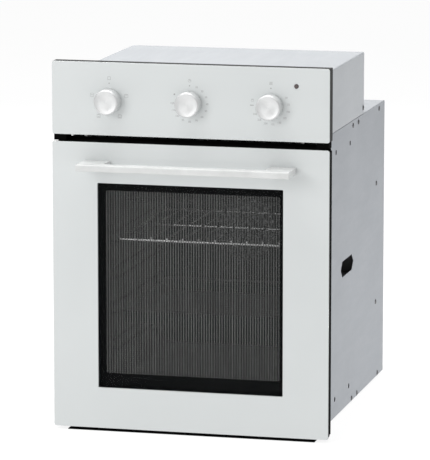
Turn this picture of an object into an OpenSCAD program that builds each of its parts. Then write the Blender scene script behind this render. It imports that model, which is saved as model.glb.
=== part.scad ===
// Built-in wall oven, 45 cm wide, with a drop-down glass door and three control knobs.
// Origin: centre of the width, on the mounting plane where the front frame meets the cabinet,
// at the level the oven rests on. +X is to the right, +Y runs into the cabinet, +Z is up.

/* [Front] */
// Width of the door glass and of the control panel glass
front_w = 450; // [420:1:600]
// Height of the door glass
door_h = 462; // [380:1:560]
// Height of the control panel glass
panel_h = 116.5; // [97:0.5:150]
// Height of the air outlet between the door and the control panel
vent_h = 11.5; // [9:0.5:16]
// Gap from the resting surface up to the door glass
door_lift = 5; // [4.5:0.5:10]
// Distance from the mounting plane forward to the face of the glass
front_proud = 25; // [24:0.5:32]
// Thickness of the outer panes
glass_t = 4; // [3:0.5:5]
// Corner radius of the outer panes
glass_r = 3.5; // [1:0.5:8]

/* [Door] */
// Thickness of the inner pane
inner_glass_t = 4; // [3:0.5:4.5]
// Space between the closed door and the front frame, filled by the seal
door_gap = 3; // [2.5:0.5:5]
// Wall of the door's side profiles
profile_t = 1.5; // [1:0.25:2]

/* [Handle] */
// Length of the handle bar
handle_len = 344; // [280:1:400]
// Height of the handle bar
handle_h = 11; // [9:0.5:16]
// Depth of the handle bar, front to back
handle_d = 19; // [14:0.5:24]
// Distance from the glass forward to the front of the bar
handle_proud = 54; // [44:1:66]
// Distance from the top of the door down to the top of the bar
handle_drop = 28.5; // [20:0.5:50]
// Width of each handle bracket
bracket_w = 42; // [30:1:60]
// Diameter of the handle screws
handle_screw_d = 4; // [3:0.5:5]

/* [Casing] */
// How far the front stands out past the casing on each side
front_overhang = 26; // [20:1:34]
// Depth of the casing behind the mounting plane
case_depth = 537; // [460:1:600]
// Height of the casing above the top edge of the door
case_over_door = 6; // [4:0.5:10]
// Gap under the casing
case_lift = 4; // [3.5:0.5:8]
// Thickness of the casing sheet
sheet_t = 1; // [0.8:0.1:1.5]
// Depth of the raised cover over the controls
box_depth = 363; // [300:1:420]
// Distance from the top of the control glass down to the top of the raised cover
box_drop = 19; // [12:1:30]
// Radius of the cabinet screw holes in the front frame
cabinet_hole_r = 2.25; // [1.75:0.25:3]
// Distance of the cabinet screw holes from the edge of the glass
cabinet_hole_in = 13; // [9:0.5:16]
// Height of the lower cabinet screw holes above the door's bottom edge
cabinet_hole_low = 95; // [60:1:140]
// Distance of the upper cabinet screw holes below the top of the door
cabinet_hole_high = 72; // [50:1:120]

/* [Grip slots] */
// Length of a hand grip slot in a side panel
grip_len = 100; // [85:1:120]
// Height of a hand grip slot
grip_h = 26; // [22:1:34]
// Depth of the cup behind a grip slot
grip_depth = 25; // [20:1:28]
// Distance of the grip's middle behind the mounting plane
grip_y = 236; // [180:1:280]

/* [Cavity] */
// Space beside the cavity, to the outside of the casing
side_space = 42; // [35:1:50]
// Space under the cavity, to the underside of the casing
floor_space = 60; // [54:1:75]
// Space over the cavity, to the top of the casing
roof_space = 69; // [56:1:85]
// Space behind the cavity, to the back of the casing
rear_space = 137; // [120:1:160]
// Corner radius of the cavity
cavity_r = 20; // [10:1:30]
// Thickness of the insulation
insulation_t = 25; // [20:1:27]
// Thickness of the enamelled liner
liner_t = 1; // [0.8:0.1:1.5]

/* [Shelves] */
// Number of shelf levels
levels = 4; // [3:1:5]
// Height of the lowest level above the cavity floor
first_level = 65; // [40:1:80]
// Space over the highest level, to the cavity ceiling
top_level_space = 101; // [85:1:120]
// Space between a shelf's edge and the cavity wall
shelf_side = 23; // [18:1:28]
// Distance of the shelf's front rod behind the mounting plane
shelf_front = 35; // [25:1:50]
// Radius of the shelf's frame rods
shelf_rod_r = 2.5; // [2:0.25:3.5]
// Radius of the shelf's cross wires
shelf_wire_r = 1.5; // [1:0.25:2]
// Number of wires across the shelf
shelf_wires = 11; // [7:1:15]
// Radius of the rack wires
rack_wire_r = 2; // [1.5:0.25:3]
// Depth of the baking tray
tray_h = 22; // [15:1:35]
// Clearance between a shelf and its rack
slide_gap = 0.5; // [0.3:0.1:1]

/* [Controls] */
// Distance between the knobs
knob_pitch = 131; // [110:1:150]
// Height of the knob axis above the bottom edge of the control glass
knob_rise = 55; // [45:1:62]
// Diameter of a knob
knob_d = 40; // [32:1:44]
// Distance from the glass to the front of a knob
knob_proud = 22.5; // [18:0.5:28]
// Diameter of a control shaft
shaft_d = 6; // [5:0.5:8]
// Distance of the indicator lamp from the middle
lamp_x = 171.7; // [155:0.1:185]
// Height of the indicator lamp above the bottom edge of the control glass
lamp_rise = 87.8; // [70:0.1:90]
// Diameter of the indicator lamp
lamp_d = 6.6; // [5:0.1:8]

/* [Hinges] */
// Distance of the hinge pins behind the glass face
pivot_in = 8.5; // [8.5:0.1:10]
// Height of the hinge pins above the door's bottom edge
pivot_rise = 13.5; // [12:0.1:14]
// Diameter of a hinge pin
pin_d = 4; // [3:0.5:4]
// Thickness of a hinge arm
arm_t = 4; // [3:0.5:5]
// Distance of the hinge arms in from the edge of the glass
arm_in = 45; // [42:0.5:50]
// Radial clearance of shafts and pins that turn
turn_gap = 0.05; // [0.02:0.01:0.1]

/* [Fans] */
// Diameter of the convection fan
fan_d = 124; // [100:1:140]
// Number of blades on the convection fan
fan_blades = 10; // [6:1:14]
// Diameter of the cooling fan
blower_d = 120; // [90:1:130]
// Number of blades on the cooling fan
blower_blades = 20; // [12:1:28]
// Radius of a heating element's tube
element_r = 3.25; // [2.5:0.25:4]

/* [Hidden] */
$fn = 48;

// clearances: parts that slip together, a screw in its thread
fit = 0.2;
thread_gap = 0.1;

// faces and levels of the front and the casing
case_w = front_w - 2 * front_overhang;
inner_w = case_w - 2 * sheet_t;
front_y = -front_proud;
glass_back = front_y + glass_t;
frame_front = -sheet_t;
door_back = frame_front - door_gap;
inner_glass_y = door_back - inner_glass_t;
door_z0 = door_lift;
door_z1 = door_lift + door_h;
panel_z0 = door_z1 + vent_h;
panel_z1 = panel_z0 + panel_h;
case_z0 = case_lift;
case_z1 = door_z1 + case_over_door;
box_z1 = panel_z1 - box_drop;
box_front = 0.2;
knob_z = panel_z0 + knob_rise;
knob_xs = [-knob_pitch, 0, knob_pitch];
grip_z = (case_z0 + case_z1) / 2;

// walls of small sheet and moulded parts
trim_t = 1.2;
trim_y = [front_y + 2, 30];
carrier_t = 2.5;
cup_t = 1.2;
cup_rim = 8;
tray_t = 1.2;

// cavity and insulation
cavity_w = case_w - 2 * side_space;
cavity_z0 = case_z0 + floor_space;
cavity_z1 = case_z1 - roof_space;
cavity_h = cavity_z1 - cavity_z0;
cavity_zm = (cavity_z0 + cavity_z1) / 2;
cavity_y1 = case_depth - rear_space;
wool_y1 = cavity_y1 + liner_t + insulation_t;
wool_w = cavity_w + 2 * (liner_t + insulation_t);
wool_z0 = cavity_z0 - liner_t - insulation_t;
wool_z1 = cavity_z1 + liner_t + insulation_t;

// door: side profiles, inner pane, hinge channels and handle
profile_w = 36;
profile_out = front_w / 2 - 0.5;
profile_in = profile_out - profile_w;
profile_z0 = door_z0 + 6;
profile_z1 = door_z1 - 5;
cap_t = 2.5;
inner_glass_x = profile_in - fit - 1.5;
inner_glass_z0 = door_z0 + 29;
inner_glass_z1 = profile_z1 - 10;
pivot_y = front_y + pivot_in;
pivot_z = door_z0 + pivot_rise;
arm_x = front_w / 2 - arm_in;
arm_r = pivot_in - glass_t - 0.5;
arm_rear = 62;
channel_w = 14;
channel_t = 1.5;
channel_top = door_z0 + 175;
channel_front = glass_back + fit;
channel_back = inner_glass_y - 0.4;
channel_mid = (channel_front + channel_t + channel_back) / 2;
spring_r = 4;
spring_in_r = 2.2;
spring_rod_r = 1.5;
spring_z0 = door_z0 + 40;
spring_z1 = door_z0 + 145;
spring_coils = 22;
hook_y = 48;
hook_w = 6;
handle_z = door_z1 - handle_drop - handle_h / 2;
handle_front = front_y - handle_proud;
bracket_x = handle_len / 2 - bracket_w / 2;
handle_screw_in = 14;

// shelf, tray and racks
shelf_half = cavity_w / 2 - shelf_side;
level_pitch = (cavity_h - first_level - top_level_space) / (levels - 1);
shelf_z = cavity_z0 + first_level + (levels - 1) * level_pitch;
tray_z = cavity_z0 + first_level + (levels - 3) * level_pitch;
shelf_rear = cavity_y1 - 60;
rack_x = cavity_w / 2 - 7;
rack_post_r = 2.5;
rack_front = shelf_front + 5;
rack_rear = shelf_rear - 10;
runner_drop = shelf_rod_r + rack_wire_r + slide_gap;

// fan, elements, lamp and sensor inside the cavity
grill_z = cavity_z1 - 38;
ring_r = fan_d / 2 + 15;
guard_half = ring_r + element_r + 5;
guard_y = cavity_y1 - 48;
guard_t = 1;
fan_z = grill_z - element_r - 4 - guard_half;
fan_back = cavity_y1 - 12;
fan_len = 24;
fan_shaft_r = 4;
element_end = wool_y1 + 10;
element_bend = 20;
ring_y = cavity_y1 - 22;
ring_open = 10;
ring_end_x = ring_r * sin(ring_open);
ring_end_z = fan_z + ring_r * cos(ring_open);
grill_x = cavity_w / 2 - 32;
grill_y0 = 45;
grill_y1 = cavity_y1 - 75;
grill_legs = [20, 70, grill_x];
lower_z = cavity_z0 - liner_t - element_r - 1.5;
pocket_z = lower_z - element_r - 1;
oven_lamp_r = 22;
oven_lamp_x = min(-cavity_w / 2 + 46, -guard_half - oven_lamp_r - 3);
oven_lamp_z = cavity_z1 - 36;
lamp_neck_r = 17.5;
sensor_r = 3;
sensor_x = max(cavity_w / 2 - 57, guard_half + sensor_r + 3);
sensor_z = cavity_z1 - 58;

// raised cover: duct, control bracket, cooling blower
duct_h = 26;
duct_z1 = case_z1 + duct_h;
control_y = 0.2;
control_t = 1.2;
control_z0 = duct_z1 + 1;
switch_y = control_y + control_t;
bush_r = 4.8;
shaft_in = 18;
scroll_h = 40;
scroll_y = 195;
scroll_r = blower_d / 2 + 14;
scroll_z1 = case_z1 + scroll_h;
mouth_x = scroll_r * 0.66;
mouth_y = scroll_y - sqrt(scroll_r * scroll_r - mouth_x * mouth_x);
blower_z0 = case_z1 + 4;
blower_h = scroll_h - 10;
motor_top = box_z1 - sheet_t - 8;
motor_shaft_r = 3;

// screws and plain holes of the side panels: distance behind the mounting plane, height
screw_r = 1.75;
screw_len = 5;
screw_head_r = 4;
screw_head_t = 1.6;
plain_hole_r = 4;
flange_h = 13;
low_row = case_z0 + 5;
high_row = case_z1 - 8;
row_ys = [275, 318, case_depth - 49];
column_y = case_depth - 68;
column_zs = [case_z0 + 132, case_z1 - 133];
plain_ys = [145, 254];
plain_zs = [case_z0 + 30, case_z1 - 34];
box_screw = [box_depth - 8, case_z1 + 11];

// cable entry at the back
gland_r = 10;
gland_x = case_w / 2 - 60;
gland_z = case_z1 - 40;
cable_hole_r = 4.5;

// ---- shared shapes -------------------------------------------------------------------

// Box between two corners
module box(x, y, z) {
    translate([x[0], y[0], z[0]])
        cube([x[1] - x[0], y[1] - y[0], z[1] - z[0]]);
}

// Outline in X and Z, made into a plate that starts at y and is t thick
module upright(y, t) {
    translate([0, y + t, 0])
        rotate([90, 0, 0])
            linear_extrude(t)
                children();
}

// Rounded rectangle, centred
module rounded(w, h, r) {
    square([w - 2 * r, h], center = true);
    square([w, h - 2 * r], center = true);
    for (x = [-1, 1], z = [-1, 1])
        translate([x * (w / 2 - r), z * (h / 2 - r)])
            circle(r);
}

module rod_x(x0, x1, y, z, r) {
    translate([x0, y, z])
        rotate([0, 90, 0])
            cylinder(h = x1 - x0, r = r);
}

module rod_y(x, y0, y1, z, r) {
    translate([x, y0, z])
        rotate([-90, 0, 0])
            cylinder(h = y1 - y0, r = r);
}

module rod_z(x, y, z0, z1, r) {
    translate([x, y, z0])
        cylinder(h = z1 - z0, r = r);
}

// Row of n equal blocks along X, with its middle at a place
module row_x(n, pitch, size, place) {
    for (i = [0 : n - 1])
        translate(place + [(i - (n - 1) / 2) * pitch, 0, 0])
            cube(size, center = true);
}

// A bent tube in the horizontal plane: part of a ring
module bend(x, y, z, big_r, r, from, angle) {
    translate([x, y, z])
        rotate([0, 0, from])
            rotate_extrude(angle = angle)
                translate([big_r, 0])
                    circle(r);
}

module both_sides() {
    children();
    mirror([1, 0, 0])
        children();
}

// Outline in Y and Z, made into a plate that starts at x and is t thick
module sideways(x, t) {
    translate([x, 0, 0])
        rotate([90, 0, 90])
            linear_extrude(t)
                children();
}

// ---- casing --------------------------------------------------------------------------

// Six-sided outline of a hand grip slot
module grip_outline() {
    bevel = grip_h / 2;
    flat = grip_len / 2 - bevel;
    translate([grip_y, grip_z])
        polygon([[-grip_len / 2, 0], [-flat, bevel], [flat, bevel],
            [grip_len / 2, 0], [flat, -bevel], [-flat, -bevel]]);
}

// Every place in the right side panel that takes a screw: distance back, height
function side_screws() = concat(
    [for (y = row_ys, z = [low_row, high_row]) [y, z]],
    [for (z = column_zs) [column_y, z]]);

module screw_holes(places, r) {
    for (p = places)
        rod_x(case_w / 2 - 3 * sheet_t, case_w / 2 + 1, p[0], p[1], r);
}

module right_side_panel() {
    difference() {
        box([case_w / 2 - sheet_t, case_w / 2], [fit, case_depth], [case_z0, case_z1]);
        sideways(case_w / 2 - 2 * sheet_t, 3 * sheet_t)
            grip_outline();
        screw_holes(side_screws(), screw_r + fit);
        screw_holes([for (i = [0, 1], z = plain_zs) [plain_ys[i], z]], plain_hole_r);
    }
}

module side_panel_right() {
    color("gainsboro")
        right_side_panel();
}

module side_panel_left() {
    color("gainsboro")
        mirror([1, 0, 0])
            right_side_panel();
}

// Flange inside a side panel, with a hole for each screw that crosses it
module side_flange(y, z) {
    x1 = inner_w / 2 - fit;
    difference() {
        box([x1 - sheet_t, x1], y, z);
        screw_holes(concat(side_screws(), [box_screw]), screw_r + thread_gap);
    }
}

module base_panel() {
    x1 = inner_w / 2 - fit;
    color("silver")
        difference() {
            union() {
                box([-x1, x1], [fit, case_depth - sheet_t - fit], [case_z0, case_z0 + sheet_t]);
                both_sides()
                    side_flange([fit + 2, case_depth - sheet_t - fit],
                        [case_z0 + sheet_t, case_z0 + flange_h]);
            }
            row_x(7, 24, [6, 90, 3 * sheet_t], [0, case_depth - 145, case_z0 + sheet_t / 2]);
        }
}

module rear_panel() {
    x1 = inner_w / 2 - fit;
    z0 = case_z0 + sheet_t + fit;
    z1 = case_z1 - sheet_t - fit;
    color("silver") {
        difference() {
            box([-x1, x1], [case_depth - sheet_t, case_depth], [z0, z1]);
            for (x = [-104, 104])
                row_x(8, 12, [5, 3 * sheet_t, 90], [x, case_depth - sheet_t / 2, fan_z]);
            rod_y(gland_x, case_depth - 2 * sheet_t, case_depth + sheet_t, gland_z,
                gland_r + fit);
        }
        both_sides()
            side_flange([case_depth - 85, case_depth - sheet_t],
                [case_z0 + flange_h + 6, case_z1 - flange_h - 8]);
    }
}

module casing_top() {
    x1 = inner_w / 2 - fit;
    color("silver")
        difference() {
            union() {
                box([-x1, x1], [fit, case_depth - sheet_t - fit],
                    [case_z1 - sheet_t, case_z1]);
                both_sides()
                    side_flange([plain_ys[1] + 6, case_depth - 2 * sheet_t - fit],
                        [case_z1 - flange_h, case_z1 - sheet_t]);
            }
            rod_z(0, scroll_y, case_z1 - 2 * sheet_t, case_z1 + sheet_t, blower_d / 2 - 22);
        }
}

// Folded cover, open in front and below; a flange of its back wall takes the screws
module control_cover() {
    x1 = case_w / 2;
    color("white") {
        difference() {
            box([-x1, x1], [box_front, box_depth], [case_z1 + fit, box_z1]);
            box([-x1 + sheet_t, x1 - sheet_t], [box_front - 1, box_depth - sheet_t],
                [case_z1 - 1, box_z1 - sheet_t]);
            both_sides()
                screw_holes([box_screw], screw_r + fit);
            row_x(13, 22, [14, 3 * sheet_t, 4], [0, box_depth - sheet_t / 2, box_z1 - 30]);
        }
        both_sides()
            side_flange([box_depth - 24, box_depth - sheet_t / 2],
                [case_z1 + fit, case_z1 + 20]);
    }
}

// Plate round the cavity; a groove marks off the strip on each side that lies on the cabinet
module front_frame() {
    groove = [1.5, 0.3];
    color("dimgray")
        difference() {
            upright(frame_front, sheet_t)
                difference() {
                    translate([0, (case_z0 + case_z1) / 2])
                        rounded(front_w - 6, case_z1 - case_z0, 3);
                    translate([0, cavity_zm])
                        rounded(cavity_w, cavity_h, cavity_r);
                    for (x = [-1, 1])
                        translate([x * arm_x, pivot_z])
                            square([arm_t + 2, 2 * arm_r + 4], center = true);
                }
            for (x = [-1, 1], z = [door_z0 + cabinet_hole_low, door_z1 - cabinet_hole_high])
                rod_y(x * (front_w / 2 - cabinet_hole_in), frame_front - 1, 1, z,
                    cabinet_hole_r);
            both_sides()
                box([case_w / 2 + 1, case_w / 2 + 1 + groove[0]], [-groove[1], 1],
                    [case_z0 - 1, case_z1 + 1]);
        }
}

// Box-shaped strip under the door that carries the front of the casing
module bottom_trim() {
    x1 = case_w / 2 + 3.5;
    color("black") {
        box([-x1, x1], trim_y, [0, trim_t]);
        for (y = [0.5, trim_y[1] - trim_t])
            box([-x1, x1], [y, y + trim_t], [trim_t, case_z0]);
    }
}

module support_pads() {
    color("black")
        both_sides()
            rod_z(case_w / 2 - 45, case_depth - 40, 0, case_z0, 12);
}

module casing_screws() {
    color("gray")
        both_sides()
            for (p = concat(side_screws(), [box_screw])) {
                rod_x(case_w / 2 - screw_len, case_w / 2, p[0], p[1], screw_r);
                rod_x(case_w / 2, case_w / 2 + screw_head_t, p[0], p[1], screw_head_r);
            }
}

// Block the size of a grip cup, larger by grow on every side
module grip_cup_solid(grow) {
    x1 = inner_w / 2;
    y = grip_len / 2 + cup_rim + grow;
    z = grip_h / 2 + cup_rim + grow;
    box([x1 - grip_depth - grow, x1], [grip_y - y, grip_y + y], [grip_z - z, grip_z + z]);
}

module grip_cups() {
    color("dimgray")
        both_sides()
            difference() {
                grip_cup_solid(0);
                translate([cup_t, 0, 0])
                    grip_cup_solid(-cup_t);
            }
}

// ---- cavity --------------------------------------------------------------------------

// Front outline of the cavity, larger by grow on every side
module cavity_outline(grow) {
    translate([0, cavity_zm])
        rounded(cavity_w + 2 * grow, cavity_h + 2 * grow, cavity_r + grow);
}

// Holes through the back wall for all that crosses it
module rear_holes(grow) {
    y0 = cavity_y1 - 1;
    y1 = wool_y1 + 1;
    rod_y(0, y0, y1, fan_z, fan_shaft_r + 4 + grow);
    rod_y(oven_lamp_x, y0, y1, oven_lamp_z, lamp_neck_r + fit + grow);
    rod_y(sensor_x, y0, y1, sensor_z, sensor_r + fit + grow);
    for (x = [-1, 1]) {
        rod_y(x * grill_legs[0], y0, y1, grill_z, element_r + fit + grow);
        rod_y(x * ring_end_x, y0, y1, ring_end_z, element_r + fit + grow);
    }
}

module cavity_liner() {
    color("darkslategray")
        difference() {
            upright(0, cavity_y1 + liner_t)
                cavity_outline(liner_t);
            upright(-1, cavity_y1 + 1)
                cavity_outline(0);
            rear_holes(0);
        }
}

module insulation() {
    gap = liner_t + 0.3;
    color("khaki")
        difference() {
            box([-wool_w / 2, wool_w / 2], [3, wool_y1], [wool_z0, wool_z1]);
            upright(0, cavity_y1 + gap)
                cavity_outline(gap);
            rear_holes(1.5);
            box([-grill_x - 5, grill_x + 5], [50, cavity_y1 + gap], [pocket_z, cavity_zm]);
            box([-grill_legs[0] - 8, grill_legs[0] + 8], [cavity_y1, wool_y1 + 1],
                [pocket_z, cavity_z0]);
            both_sides()
                grip_cup_solid(0.5);
        }
}

module door_seal() {
    inset = 8;
    half = 3.5;
    color("dimgray")
        upright(door_back + 0.3, door_gap - 0.3)
            difference() {
                cavity_outline(inset + half);
                cavity_outline(inset - half);
            }
}

// ---- racks, shelf and tray -----------------------------------------------------------

// Height of a shelf level
function level_z(i) = cavity_z0 + first_level + i * level_pitch;

// Lengthwise wire of a rack, on a short wire from each post
module rack_wire(x, z) {
    rod_y(x, rack_front - 12, rack_rear + 8, z, rack_wire_r);
    for (y = [rack_front, rack_rear])
        rod_x(x, rack_x, y, z, rack_wire_r);
}

module rack() {
    posts_z = [cavity_z0 + 25, level_z(levels - 1) + 22];
    color("lightgray") {
        for (y = [rack_front, rack_rear]) {
            rod_z(rack_x, y, posts_z[0], posts_z[1], rack_post_r);
            for (z = [posts_z[0] + 8, posts_z[1] - 8])
                rod_x(rack_x, cavity_w / 2, y, z, rack_wire_r);
        }
        for (i = [0 : levels - 1]) {
            rack_wire(shelf_half - 0.5, level_z(i) - runner_drop);
            rack_wire(shelf_half + 6, level_z(i) + 10);
        }
    }
}

module rack_right() {
    rack();
}

module rack_left() {
    mirror([1, 0, 0])
        rack();
}

module wire_shelf() {
    side_x = shelf_half - shelf_rod_r;
    top_z = shelf_z + shelf_rod_r + shelf_wire_r - 0.4;
    step = 2 * side_x / (shelf_wires - 1);
    color("silver") {
        for (y = [shelf_front, (shelf_front + shelf_rear) / 2, shelf_rear])
            rod_x(-side_x, side_x, y, shelf_z, shelf_rod_r);
        for (x = [-1, 1])
            rod_y(x * side_x, shelf_front, shelf_rear, shelf_z, shelf_rod_r);
        for (x = [-1, 1], y = [shelf_front, shelf_rear])
            translate([x * side_x, y, shelf_z])
                sphere(shelf_rod_r);
        for (i = [0 : shelf_wires - 1])
            rod_y(-side_x + i * step, shelf_front - 2.5, shelf_rear + 2.5, top_z,
                shelf_wire_r);
    }
}

// Outline of the tray, seen from above
module tray_outline(inset) {
    w = 2 * (shelf_half - inset);
    d = shelf_rear - shelf_front - 2 * inset;
    translate([0, (shelf_front + shelf_rear) / 2])
        rounded(w, d, 12 - inset / 2);
}

module baking_tray() {
    wall = 8;
    color("darkslategray")
        difference() {
            union() {
                translate([0, 0, tray_z - 1])
                    linear_extrude(tray_t)
                        tray_outline(0);
                translate([0, 0, tray_z - tray_h])
                    linear_extrude(tray_h)
                        tray_outline(wall);
            }
            translate([0, 0, tray_z - tray_h + tray_t])
                linear_extrude(tray_h + 5)
                    tray_outline(wall + tray_t);
        }
}

// ---- heating elements, fan and lamp --------------------------------------------------

// Right half of the grill: three legs and the bends between them
module grill_half() {
    turn_r = (grill_legs[1] - grill_legs[0]) / 2;
    back_r = (grill_legs[2] - grill_legs[1]) / 2;
    corner = element_bend;
    turn_y = grill_y0 + 50;
    rod_y(grill_legs[0], turn_y, element_end, grill_z, element_r);
    bend(grill_legs[0] + turn_r, turn_y, grill_z, turn_r, element_r, 180, 180);
    rod_y(grill_legs[1], turn_y, grill_y1 - back_r, grill_z, element_r);
    bend(grill_legs[1] + back_r, grill_y1 - back_r, grill_z, back_r, element_r, 0, 180);
    rod_y(grill_legs[2], grill_y0 + corner, grill_y1 - back_r, grill_z, element_r);
    bend(grill_legs[2] - corner, grill_y0 + corner, grill_z, corner, element_r, 270, 90);
    rod_x(0, grill_legs[2] - corner, grill_y0, grill_z, element_r);
}

module grill_element() {
    color("dimgray")
        both_sides()
            grill_half();
}

module lower_half() {
    corner = element_bend;
    x1 = grill_x - 8;
    y0 = 75;
    y1 = grill_y1 - 20;
    rod_x(0, x1 - corner, y0, lower_z, element_r);
    bend(x1 - corner, y0 + corner, lower_z, corner, element_r, 270, 90);
    rod_y(x1, y0 + corner, y1 - corner, lower_z, element_r);
    bend(x1 - corner, y1 - corner, lower_z, corner, element_r, 0, 90);
    rod_x(grill_legs[0] + corner, x1 - corner, y1, lower_z, element_r);
    bend(grill_legs[0] + corner, y1 + corner, lower_z, corner, element_r, 180, 90);
    rod_y(grill_legs[0], y1 + corner, element_end, lower_z, element_r);
}

module lower_element() {
    color("dimgray")
        both_sides()
            lower_half();
}

module ring_element() {
    tube_r = element_r - 0.3;
    color("dimgray") {
        translate([0, ring_y, fan_z])
            rotate([90, 0, 0])
                rotate([0, 0, 90 + ring_open])
                    rotate_extrude(angle = 360 - 2 * ring_open)
                        translate([ring_r, 0])
                            circle(tube_r);
        for (x = [-1, 1])
            rod_y(x * ring_end_x, ring_y - element_r, element_end, ring_end_z, element_r);
    }
}

// Shallow box with rings of suction holes in the middle and outlet slots at the sides
module fan_guard() {
    width = 2 * guard_half;
    corner = 10;
    hole_rings = 4;
    hole_pitch = 12;
    hole_r = 4;
    color("dimgray")
        difference() {
            upright(guard_y, cavity_y1 - fit - guard_y)
                translate([0, fan_z])
                    rounded(width, width, corner);
            upright(guard_y + guard_t, cavity_y1 - guard_y)
                translate([0, fan_z])
                    rounded(width - 2 * guard_t, width - 2 * guard_t, corner - guard_t);
            for (ring = [1 : hole_rings], i = [0 : 6 * ring - 1])
                rod_y(hole_pitch * ring * cos(i * 60 / ring), guard_y - 1, guard_y + 2,
                    fan_z + hole_pitch * ring * sin(i * 60 / ring), hole_r);
            for (i = [-3 : 3])
                row_x(2, width - 40, [16, 3 * guard_t, 6],
                    [0, guard_y + guard_t / 2, fan_z + i * 21]);
        }
}

module fan_motor() {
    y0 = wool_y1 + fit;
    y1 = y0 + 45;
    plate = 50;
    color("gray")
        difference() {
            union() {
                box([-plate, plate], [y0, y0 + 1.5], [fan_z - plate, fan_z + plate]);
                rod_y(0, y0 + 1.5, y1, fan_z, 36);
            }
            rod_y(0, y0 - 1, y1 + 1, fan_z, fan_shaft_r + turn_gap);
        }
}

module convection_fan() {
    hub_r = 9;
    blade_t = 1.2;
    color("lightgray") {
        rod_y(0, fan_back - 1.5, fan_back, fan_z, fan_d / 2);
        rod_y(0, fan_back - fan_len, fan_back, fan_z, hub_r);
        rod_y(0, fan_back - 1, wool_y1 + 40, fan_z, fan_shaft_r);
        translate([0, fan_back - fan_len, fan_z])
            rotate([-90, 0, 0])
                for (i = [0 : fan_blades - 1])
                    rotate([0, 0, i * 360 / fan_blades])
                        translate([hub_r - 1, -blade_t / 2, 0])
                            cube([fan_d / 2 - hub_r, blade_t, fan_len - 1]);
    }
}

module oven_lamp_lens() {
    y0 = cavity_y1 - 17;
    wall = 2;
    color("lightcyan")
        difference() {
            rod_y(oven_lamp_x, y0, cavity_y1 - fit, oven_lamp_z, oven_lamp_r);
            rod_y(oven_lamp_x, y0 + wall, cavity_y1 + 1, oven_lamp_z, oven_lamp_r - wall);
        }
}

module oven_lamp_holder() {
    color("white") {
        rod_y(oven_lamp_x, cavity_y1 - 1, wool_y1 + 6, oven_lamp_z, lamp_neck_r);
        rod_y(oven_lamp_x, cavity_y1 - 13, cavity_y1 - 1, oven_lamp_z, lamp_neck_r / 2);
    }
}

module sensor_bulb() {
    color("silver")
        rod_y(sensor_x, cavity_y1 - 75, wool_y1 + 8, sensor_z, sensor_r);
}

// ---- raised cover: blower, duct and controls -----------------------------------------

module blower_housing() {
    wall = 1.2;
    color("silver")
        difference() {
            rod_z(0, scroll_y, case_z1, scroll_z1, scroll_r);
            rod_z(0, scroll_y, case_z1 - 1, scroll_z1 - wall, scroll_r - wall);
            rod_z(0, scroll_y, scroll_z1 - 2 * wall, scroll_z1 + 1, motor_shaft_r + 3);
            box([-mouth_x, mouth_x], [0, scroll_y - blower_d / 4],
                [case_z1 - 1, case_z1 + duct_h - 1]);
        }
}

module blower_motor() {
    color("dimgray")
        difference() {
            union() {
                rod_z(0, scroll_y, scroll_z1, motor_top, 27);
                rod_z(0, scroll_y, scroll_z1, scroll_z1 + 3, 36);
            }
            rod_z(0, scroll_y, scroll_z1 - 1, motor_top + 1, motor_shaft_r + turn_gap);
        }
}

// Drum wheel: a disc on top, blades round its edge, a rim under them
module blower_wheel() {
    rim = 3;
    blade = [13.5, 1, blower_h - 1];
    hub_r = 9;
    z1 = blower_z0 + blower_h;
    color("lightgray") {
        rod_z(0, scroll_y, z1 - 1.5, z1, blower_d / 2);
        rod_z(0, scroll_y, z1 - 12, z1, hub_r);
        rod_z(0, scroll_y, z1 - 1, motor_top - 4, motor_shaft_r);
        difference() {
            rod_z(0, scroll_y, blower_z0, blower_z0 + 2, blower_d / 2);
            rod_z(0, scroll_y, blower_z0 - 1, blower_z0 + 3, blower_d / 2 - rim);
        }
        translate([0, scroll_y, blower_z0])
            for (i = [0 : blower_blades - 1])
                rotate([0, 0, i * 360 / blower_blades])
                    translate([blower_d / 2 - blade[0] - 0.5, -blade[1] / 2, 0])
                        cube(blade);
    }
}

// Duct seen from above: wide at the front gap, narrow at the blower
module duct_outline(inset) {
    x1 = inner_w / 2 - 18 - inset;
    x0 = mouth_x - inset;
    y0 = inset > 0 ? -5 : control_y;
    y1 = inset > 0 ? mouth_y + 5 : mouth_y;
    polygon([[-x1, y0], [x1, y0], [x0, y1], [-x0, y1]]);
}

module air_duct() {
    color("silver")
        difference() {
            translate([0, 0, case_z1])
                linear_extrude(duct_h)
                    duct_outline(0);
            translate([0, 0, case_z1 - 1])
                linear_extrude(duct_h)
                    duct_outline(1);
            rod_z(0, scroll_y, case_z1 - 1, duct_z1 + 1, scroll_r + fit);
        }
}

module control_bracket() {
    x1 = inner_w / 2 - fit;
    z1 = box_z1 - sheet_t - fit;
    color("silver")
        difference() {
            union() {
                box([-x1, x1], [control_y, control_y + control_t], [control_z0, z1]);
                box([-x1, x1], [control_y, control_y + 12], [z1 - control_t, z1]);
            }
            for (x = knob_xs)
                rod_y(x, control_y - 1, control_y + 2, knob_z, bush_r + fit);
        }
}

// The threaded neck of a switch, and the bore its shaft turns in
module switch_neck(x) {
    rod_y(x, control_y - 6, switch_y, knob_z, bush_r);
}

module shaft_bore(x) {
    rod_y(x, control_y - 7, switch_y + shaft_in + 1, knob_z, shaft_d / 2 + turn_gap);
}

// Square switch with three blocks of contacts behind it
module function_switch() {
    x = knob_xs[0];
    y1 = switch_y + 30;
    color("ivory")
        difference() {
            union() {
                box([x - 21, x + 21], [switch_y, y1], [knob_z - 20, knob_z + 20]);
                row_x(3, 13, [6, 16, 24], [x, y1, knob_z]);
                switch_neck(x);
            }
            shaft_bore(x);
        }
}

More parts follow.
